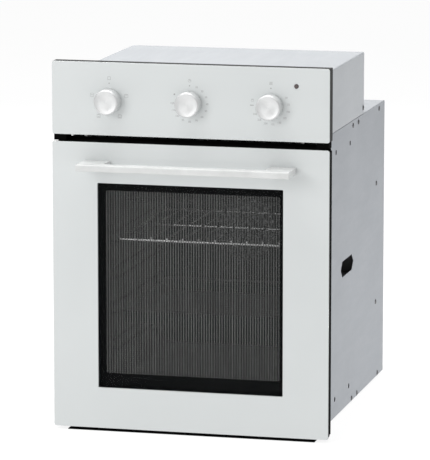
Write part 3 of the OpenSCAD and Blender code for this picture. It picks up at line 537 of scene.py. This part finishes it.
def islands(node):
    """Boxes of the separate solids of a CAD node, as (low, high)."""
    shape = bmesh.new()
    shape.from_mesh(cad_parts[node].data)
    bmesh.ops.remove_doubles(shape, verts=shape.verts, dist=1e-6)
    left, boxes = set(shape.verts), []
    while left:
        stack = [left.pop()]
        group = []
        while stack:
            vert = stack.pop()
            group.append(vert.co.copy())
            for edge in vert.link_edges:
                other = edge.other_vert(vert)
                if other in left:
                    left.remove(other)
                    stack.append(other)
        boxes.append((Vector(map(min, zip(*group))), Vector(map(max, zip(*group)))))
    shape.free()
    return boxes


# ---- camera, light and floor ----------------------------------------------------------

def add_camera():
    camera = bpy.data.cameras.new("camera")
    camera.sensor_width = CAMERA_SENSOR
    camera.lens = CAMERA_LENS
    holder = bpy.data.objects.new("camera", camera)
    holder.location = CAMERA_PLACE
    holder.rotation_euler = (math.pi / 2 - CAMERA_DOWN, 0, CAMERA_TURN)
    bpy.context.scene.collection.objects.link(holder)
    bpy.context.scene.camera = holder


def add_light(name, place, target, size, power):
    light = bpy.data.lights.new(name, "AREA")
    light.shape = "RECTANGLE"
    light.size, light.size_y = size
    light.energy = power
    holder = bpy.data.objects.new(name, light)
    holder.visible_camera = False
    holder.location = place
    holder.rotation_euler = (Vector(target) - Vector(place)).to_track_quat("-Z", "Y").to_euler()
    bpy.context.scene.collection.objects.link(holder)


def add_studio():
    world = bpy.data.worlds.new("studio")
    world.use_nodes = True
    background = world.node_tree.nodes["Background"]
    background.inputs["Color"].default_value = (1.0, 1.0, 1.0, 1.0)
    background.inputs["Strength"].default_value = WORLD_STRENGTH
    bpy.context.scene.world = world
    middle = (0, 0.2, 0.3)
    add_light("top_light", (-0.3, 0.1, 3.2), middle, (2.4, 2.4), 86)
    add_light("front_light", (-1.8, -3.2, 1.7), middle, (1.8, 1.8), 44)
    add_light("side_card", (1.0, 0.5, 0.03), (0.2, 0.3, 0.1), (0.8, 0.05), 2.6)
    add_light("rear_light", (-0.9, 3.2, 1.6), middle, (1.8, 1.8), 14)
    shape = bmesh.new()
    bmesh.ops.create_grid(shape, x_segments=4, y_segments=4, size=FLOOR_SIDE / 2)
    mesh = bpy.data.meshes.new("floor")
    shape.to_mesh(mesh)
    shape.free()
    floor = new_object("floor", mesh, floor_paint())
    floor.location.z = cad_box[0][2] - FLOOR_GAP
    bpy.context.scene.view_settings.view_transform = "Standard"


# ---- casing ---------------------------------------------------------------------------

def make_side_panels():
    """Sheet sides with the grip slot and the plain holes; their edges are rounded."""
    slot_low, slot_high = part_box("grip_cups")
    rim = 8 * MM
    y0, y1 = slot_low.y + rim, slot_high.y - rim
    z0, z1 = slot_low.z + rim, slot_high.z - rim
    zm, bevel = (z0 + z1) / 2, (z1 - z0) / 2
    grip = [(y0, zm), (y0 + bevel, z0), (y1 - bevel, z0), (y1, zm), (y1 - bevel, z1),
            (y0 + bevel, z1)]
    for side in ("left", "right"):
        node = "side_panel_" + side
        low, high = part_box(node)
        edge = rounded_points(low.y, high.y, low.z, high.z, 1.5 * MM, 3)
        heights = (low.z + PLAIN_ABOVE_FOOT, high.z - PLAIN_UNDER_TOP)
        plain = [(y, z) for y in PLAIN_Y for z in heights]
        holes = [circle_points(y, z, PLAIN_R, 24) for y, z in plain]
        mesh = plate_mesh(node + "_sheet", [edge, grip] + holes, low.x, high.x, FACING_SIDE,
                          0.35 * MM)
        # painted shade: the walls of the plain holes get black steel, for the shade inside them
        for face in mesh.polygons:
            middle = face.center
            near = min(math.hypot(middle.y - y, middle.z - z) for y, z in plain)
            if near < PLAIN_HOLE_SHADE_R:
                face.material_index = 1
        piece = new_object(node + "_sheet", mesh, MATERIALS["casing_steel"],
                           MATERIALS["black_steel"])
        settle(piece, "casing", "casing_steel", node)


def make_cover():
    """Raised cover: one sheet folded over the top and down both sides, and its back."""
    low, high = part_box("control_cover")
    low.z += 0.6 * MM   # a fine seam over the side panels
    thick = 1 * MM
    radius = 2.5 * MM
    outer = [(low.x, low.z)]
    for cx, start in ((low.x + radius, 180), (high.x - radius, 90)):
        for i in range(7):
            angle = math.radians(start - 90 * i / 6)
            outer.append((cx + radius * math.cos(angle),
                          high.z - radius + radius * math.sin(angle)))
    outer.append((high.x, low.z))
    shape = bmesh.new()
    front = [shape.verts.new((x, low.y, z)) for x, z in outer]
    back = [shape.verts.new((x, high.y - thick, z)) for x, z in outer]
    for i in range(len(outer) - 1):
        shape.faces.new((front[i], front[i + 1], back[i + 1], back[i]))
    bmesh.ops.recalc_face_normals(shape, faces=shape.faces)
    if sum(face.normal.z for face in shape.faces) < 0:
        bmesh.ops.reverse_faces(shape, faces=shape.faces)
    bmesh.ops.solidify(shape, geom=shape.faces[:], thickness=thick)
    wrap = bpy.data.meshes.new("wrap")
    shape.to_mesh(wrap)
    shape.free()
    edge = [(low.x + 0.4 * MM, low.z)] + [(x, z) for x, z in outer[1:-1]]
    edge.append((high.x - 0.4 * MM, low.z))
    slots = [rounded_points(i * 22 * MM - 7 * MM, i * 22 * MM + 7 * MM, high.z - 32 * MM,
                            high.z - 28 * MM, 1.9 * MM, 4) for i in range(-6, 7)]
    rear = plate_mesh("rear", [edge] + slots, high.y - thick, high.y, FACING_FRONT, 0.3 * MM)
    piece = new_object("cover_sheet", join_meshes("cover_sheet", [wrap, rear]),
                       MATERIALS["cover_steel"])
    settle(piece, "casing", "cover_steel", "control_cover")


def cross_head(place, sign, radius, height):
    """Domed screw head with a cross recess, facing sideways."""
    steps = 32
    profile = [(radius, 0), (radius, height * 0.45), (radius * 0.82, height * 0.85),
               (radius * 0.5, height)]
    shape = bmesh.new()
    rings = []
    for ring_radius, out in profile:
        rings.append([shape.verts.new((out, ring_radius * math.cos(2 * math.pi * i / steps),
                                       ring_radius * math.sin(2 * math.pi * i / steps)))
                      for i in range(steps)])
    for inner, outer in zip(rings, rings[1:]):
        for i in range(steps):
            shape.faces.new((inner[i], inner[(i + 1) % steps], outer[(i + 1) % steps],
                             outer[i]))
    arm, half = radius * 0.46, radius * 0.13
    cross = []
    for quarter in range(4):
        turn = quarter * math.pi / 2
        for u, v in ((half, half), (arm, half), (arm, -half)):
            # the inner corner of each arm comes once, from the arm before it
            cross.append((u * math.cos(turn) + v * math.sin(turn),
                          v * math.cos(turn) - u * math.sin(turn)))
    top = [shape.verts.new((height, u, v)) for u, v in cross]
    floor = [shape.verts.new((height * 0.35, u * 0.7, v * 0.7)) for u, v in cross]
    count = len(cross)
    for i in range(count):
        shape.faces.new((top[i], top[(i + 1) % count], floor[(i + 1) % count], floor[i]))
    shape.faces.new(floor)
    edges = [e for e in shape.edges if e.is_boundary and
             all(abs(v.co.x - height) < 1e-7 for v in e.verts)]
    bmesh.ops.bridge_loops(shape, edges=edges)
    bmesh.ops.recalc_face_normals(shape, faces=shape.faces)
    mesh = bpy.data.meshes.new("head")
    shape.to_mesh(mesh)
    shape.free()
    flip = Matrix.Scale(-1, 4, (1, 0, 0)) if sign < 0 else Matrix.Identity(4)
    mesh.transform(Matrix.Translation(place) @ flip)
    if sign < 0:
        mesh.flip_normals()
    return mesh


def dimple(place, sign, radius):
    """Shallow pressed ring that the screw head sits in."""
    steps, rise = 32, 0.35 * MM
    shape = bmesh.new()
    rings = []
    for ring_radius, out in ((radius * 0.95, 0.05 * MM), (radius * 1.1, rise),
                             (radius * 1.25, rise * 0.8), (radius * 1.45, 0.02 * MM)):
        rings.append([shape.verts.new((out, ring_radius * math.cos(2 * math.pi * i / steps),
                                       ring_radius * math.sin(2 * math.pi * i / steps)))
                      for i in range(steps)])
    for inner, outer in zip(rings, rings[1:]):
        for i in range(steps):
            shape.faces.new((inner[i], outer[i], outer[(i + 1) % steps],
                             inner[(i + 1) % steps]))
    mesh = bpy.data.meshes.new("dimple")
    shape.to_mesh(mesh)
    shape.free()
    flip = Matrix.Scale(-1, 4, (1, 0, 0)) if sign < 0 else Matrix.Identity(4)
    mesh.transform(Matrix.Translation(place) @ flip)
    if sign > 0:
        mesh.flip_normals()
    return mesh


def make_screws():
    """Cross heads in pressed rings, one for each screw of the casing."""
    heads, dimples = [], []
    for low, high in islands("casing_screws"):
        sign = 1 if low.x + high.x > 0 else -1
        face = (high.x - HEAD_H) if sign > 0 else (low.x + HEAD_H)
        place = Vector((face, (low.y + high.y) / 2, (low.z + high.z) / 2))
        heads.append(cross_head(place, sign, HEAD_R, HEAD_H))
        dimples.append(dimple(place, sign, HEAD_R))
    screws = new_object("screw_heads", join_meshes("screw_heads", heads),
                        MATERIALS["screw_steel"])
    settle(screws, "casing", "screw_steel", "casing_screws")
    rings = new_object("screw_dimples", join_meshes("screw_dimples", dimples),
                       MATERIALS["casing_steel"])
    settle(rings, "casing", "casing_steel")


# ---- front ----------------------------------------------------------------------------

def window_edges():
    """Clear opening of the window in the door's white print."""
    low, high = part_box("door_outer_glass")
    half = (high.x - low.x) / 2 - WINDOW_SIDE
    return -half, half, low.z + WINDOW_BELOW, high.z - WINDOW_ABOVE


def make_door_glass():
    """White pane with its window: a printed ring, and the clear middle set in it."""
    low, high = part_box("door_outer_glass")
    x0, x1, z0, z1 = window_edges()
    edge = rounded_points(low.x, high.x, low.z, high.z, 3.5 * MM)
    window = rounded_points(x0, x1, z0, z1, 1.5 * MM, 4)
    ring = plate_mesh("door_white_glass", [edge, window[::-1]], low.y, high.y, FACING_FRONT,
                      0.7 * MM, 3)
    edge_material(ring, 1)
    for face in ring.polygons:
        inside = x0 - 2 * MM < face.center.x < x1 + 2 * MM
        if inside and z0 - 2 * MM < face.center.z < z1 + 2 * MM:
            face.material_index = 0
    piece = new_object("door_white_glass", ring, MATERIALS["white_glass"], GLASS_EDGE)
    settle(piece, "door", "white_glass", "door_outer_glass")
    gap = 0.15 * MM
    pane = plate_mesh("door_window_glass",
                      [rounded_points(x0 + gap, x1 - gap, z0 + gap, z1 - gap, 1.4 * MM, 4)],
                      low.y + 0.1 * MM, low.y + 1.1 * MM, FACING_FRONT, 0.1 * MM, 1)
    clear = new_object("door_window_glass", pane, WINDOW_GLASS)
    settle(clear, "door", "inner_glass")


def make_inner_glass():
    """Inner pane: a black printed border round the dot screen."""
    low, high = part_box("door_inner_glass")
    hole = rounded_points(-SCREEN_HALF, SCREEN_HALF, *SCREEN_Z, 4 * MM, 4)
    edge = rounded_points(low.x, high.x, low.z, high.z, 3 * MM, 4)
    border = plate_mesh("inner_pane_border", [edge, hole[::-1]], low.y, high.y, FACING_FRONT,
                        0.4 * MM)
    piece = new_object("inner_pane_border", border, BLACK_PRINT)
    settle(piece, "door", "inner_glass", "door_inner_glass")
    pane = plate_mesh("inner_pane_screen", [hole], low.y + 0.3 * MM, low.y + 0.6 * MM,
                      FACING_FRONT)
    screen = new_object("inner_pane_screen", pane, MATERIALS["inner_glass"])
    settle(screen, "door", "inner_glass")


def make_handle():
    low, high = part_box("handle_bar")
    edge = rounded_points(low.y, high.y, low.z, high.z, 2.2 * MM, 6)
    bar = plate_mesh("handle_bar_turned", [edge], low.x, high.x, FACING_SIDE, 0.8 * MM, 3)
    piece = new_object("handle_bar_bevelled", bar, MATERIALS["handle_white"])
    settle(piece, "door", "handle_white", "handle_bar")
    blocks = []
    for low, high in islands("handle_brackets"):
        blocks.append(box_mesh("bracket", low, high, 0.8 * MM, 3))
    piece = new_object("handle_brackets_bevelled", join_meshes("brackets", blocks),
                       MATERIALS["handle_white"])
    settle(piece, "door", "handle_white", "handle_brackets")


def make_control_glass():
    low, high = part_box("control_glass")
    edge = rounded_points(low.x, high.x, low.z, high.z, 3.5 * MM)
    holes = []
    for knob in KNOBS:
        middle = centre(knob)
        holes.append(circle_points(middle.x, middle.z, 6 * MM)[::-1])
    lamp = centre("indicator_lens")
    holes.append(circle_points(lamp.x, lamp.z, 3.5 * MM)[::-1])
    mesh = plate_mesh("control_white_glass", [edge] + holes, low.y, high.y, FACING_FRONT,
                      0.7 * MM, 3)
    edge_material(mesh, 1)
    piece = new_object("control_white_glass", mesh, MATERIALS["white_glass"], GLASS_EDGE)
    settle(piece, "casing", "white_glass", "control_glass")


def centre(node):
    low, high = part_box(node)
    return (low + high) / 2


def make_knobs():
    """Turned knobs: straight wall, polished chamfer, spun face a little dished."""
    for knob in KNOBS:
        low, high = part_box(knob)
        radius = (high.x - low.x) / 2
        tall = high.y - low.y
        middle = (low + high) / 2
        profile = [(3.1 * MM, 0), (radius - 1.0 * MM, 0), (radius - 0.6 * MM, 0.4 * MM),
                   (radius - 0.6 * MM, 2.4 * MM), (radius, 2.8 * MM),
                   (radius, tall - 2.4 * MM), (radius - 0.4 * MM, tall - 1.4 * MM),
                   (radius - 1.5 * MM, tall - 0.3 * MM), (radius - 2.3 * MM, tall),
                   (radius - 2.8 * MM, tall - 0.25 * MM), (radius * 0.5, tall - 0.5 * MM),
                   (0.6 * MM, tall - 0.55 * MM), (0, tall - 0.55 * MM)]
        mesh = lathe_mesh(knob + "_turned", profile, (0, 0, 0), 96)
        piece = new_object(knob + "_turned", mesh, MATERIALS["knob_metal"])
        piece.location = (middle.x, high.y, middle.z)
        bpy.context.view_layer.update()
        settle(piece, knob, "knob_metal", knob)


def mark_ink():
    s = Shader("mark_ink", Specular_IOR_Level=0.3)
    s.colour_from(s.noise(900, 2), grey(0.30), grey(0.36))
    s.rough_from(s.noise(1500, 2), 0.4, 0.55)
    return s.material


def number_mesh(text, u, v, size, w):
    """Numerals of a scale, centred at (u, v)."""
    curve = bpy.data.curves.new("number", "FONT")
    curve.body = text
    curve.size = size
    curve.align_x = "CENTER"
    curve.align_y = "CENTER"
    curve.extrude = 0.01 * MM
    holder = bpy.data.objects.new("number", curve)
    bpy.context.scene.collection.objects.link(holder)
    seen = holder.evaluated_get(bpy.context.evaluated_depsgraph_get())
    mesh = bpy.data.meshes.new_from_object(seen)
    bpy.data.objects.remove(holder)
    mesh.transform(FACING_FRONT @ Matrix.Translation((u, v, w)))
    return mesh


def make_marks():
    """Prints on the control glass: dots, small signs and the numbers of two scales."""
    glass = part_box("control_glass")[0].y
    w0, w1 = glass - 0.03 * MM, glass + 0.02 * MM
    ink = mark_ink()
    ring_r, numeral = 28.5 * MM, 4.3 * MM
    prints = []

    def add(*outlines):
        prints.append(plate_mesh("print", list(outlines), w0, w1, FACING_FRONT))

    def at(middle, angle, radius=ring_r):
        turn = math.radians(angle)
        return middle.x + radius * math.sin(turn), middle.z + radius * math.cos(turn)

    def frame_sign(u, v, half, line=0.45 * MM):
        add(rounded_points(u - half, u + half, v - half, v + half, 0.6 * MM, 3),
            rounded_points(u - half + line, u + half - line, v - half + line,
                           v + half - line, 0.3 * MM, 3)[::-1])

    def bar(u, v, half_w, half_h):
        add(rounded_points(u - half_w, u + half_w, v - half_h, v + half_h,
                           min(half_w, half_h) * 0.6, 3))

    middles = [centre(knob) for knob in KNOBS]
    half = 2.6 * MM
    for middle in middles:
        add(circle_points(middle.x, middle.z + ring_r, 1.0 * MM, 20))
    sign_z = middles[0].z + 36.5 * MM
    frame_sign(middles[0].x, sign_z, half)
    add(circle_points(middles[1].x, sign_z, half, 24),
        circle_points(middles[1].x, sign_z, half - 0.45 * MM, 24)[::-1])
    bar(middles[1].x, sign_z + 0.8 * MM, 0.22 * MM, 1.0 * MM)
    bar(middles[1].x + 0.7 * MM, sign_z, 0.8 * MM, 0.22 * MM)
    for step in (-1, 0, 1):
        bar(middles[2].x, sign_z + step * 1.7 * MM, half, 0.3 * MM)
    # oven functions: a frame with bars for the heat that each one uses
    for turn, bars in ((72, (1,)), (144, (-1,)), (216, (-1, 1)), (288, (0,))):
        u, v = at(middles[0], turn, 29.5 * MM)
        frame_sign(u, v, 2.9 * MM, 0.4 * MM)
        for step in bars:
            bar(u, v + step * 1.5 * MM, 1.7 * MM, 0.3 * MM)
    # minute timer: 10 to 120, and the dot for use without it
    for i in range(1, 13):
        u, v = at(middles[1], 22.5 * i)
        prints.append(number_mesh(str(10 * i), u, v, numeral, w0 + 0.02 * MM))
    add(circle_points(*at(middles[1], -60), 1.3 * MM, 20))
    # thermostat: nine temperatures, then a bar for the highest setting
    for i in range(9):
        u, v = at(middles[2], 60 + 22.9 * i)
        prints.append(number_mesh(str(50 + 25 * i), u, v, numeral, w0 + 0.02 * MM))
    u, v = at(middles[2], 272, 30.5 * MM)
    bar(u, v, 2.9 * MM, 0.55 * MM)
    u, v = at(middles[2], 287, 31 * MM)
    frame_sign(u, v, 2.0 * MM, 0.35 * MM)
    bar(u, v + 0.8 * MM, 1.1 * MM, 0.25 * MM)
    piece = new_object("control_marks", join_meshes("control_marks", prints), ink)
    settle(piece, "casing", "black_plastic")


# ---- inside ---------------------------------------------------------------------------

def make_lamp_bulb():
    """Small capsule bulb in front of the lamp holder, behind its lens."""
    lens_low, lens_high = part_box("oven_lamp_lens")
    middle = (lens_low + lens_high) / 2
    radius = 5 * MM
    set_back = 2.6 * MM
    profile = [(0, 13 * MM - set_back), (radius * 0.6, 12.4 * MM - set_back),
               (radius, 10 * MM - set_back), (radius, 5 * MM - set_back),
               (0, 5 * MM - set_back)]
    base = lens_high.y - 2 * MM
    mesh = lathe_mesh("oven_lamp_bulb", profile, (middle.x, base, middle.z), 32)
    piece = new_object("oven_lamp_bulb", mesh, MATERIALS["lamp_glass"])
    settle(piece, "casing", "lamp_glass")


def dress_cad_nodes():
    """Each CAD node that stays gets the shader of its slot; the racks, the fan guard and the grill
    element inside get a near-black one instead, painted shade of the cavity.
    """
    painted_cavity_shade = moulded("painted_shade_wire", grey(0.03), (0.6, 0.75), gloss=0.1)
    for name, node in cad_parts.items():
        for holder in node.material_slots:
            holder.material = MATERIALS[holder.material.name.split(".")[0]]
            # painted shade: these parts in the cavity get a near-black colour in place of their own,
            # for the dark they sit in
            if name.startswith("rack_") or name in ("fan_guard", "grill_element"):
                holder.material = painted_cavity_shade


add_camera()
add_studio()
dress_cad_nodes()
make_side_panels()
make_cover()
make_screws()
make_door_glass()
make_inner_glass()
make_handle()
make_control_glass()
make_knobs()
make_marks()
make_lamp_bulb()
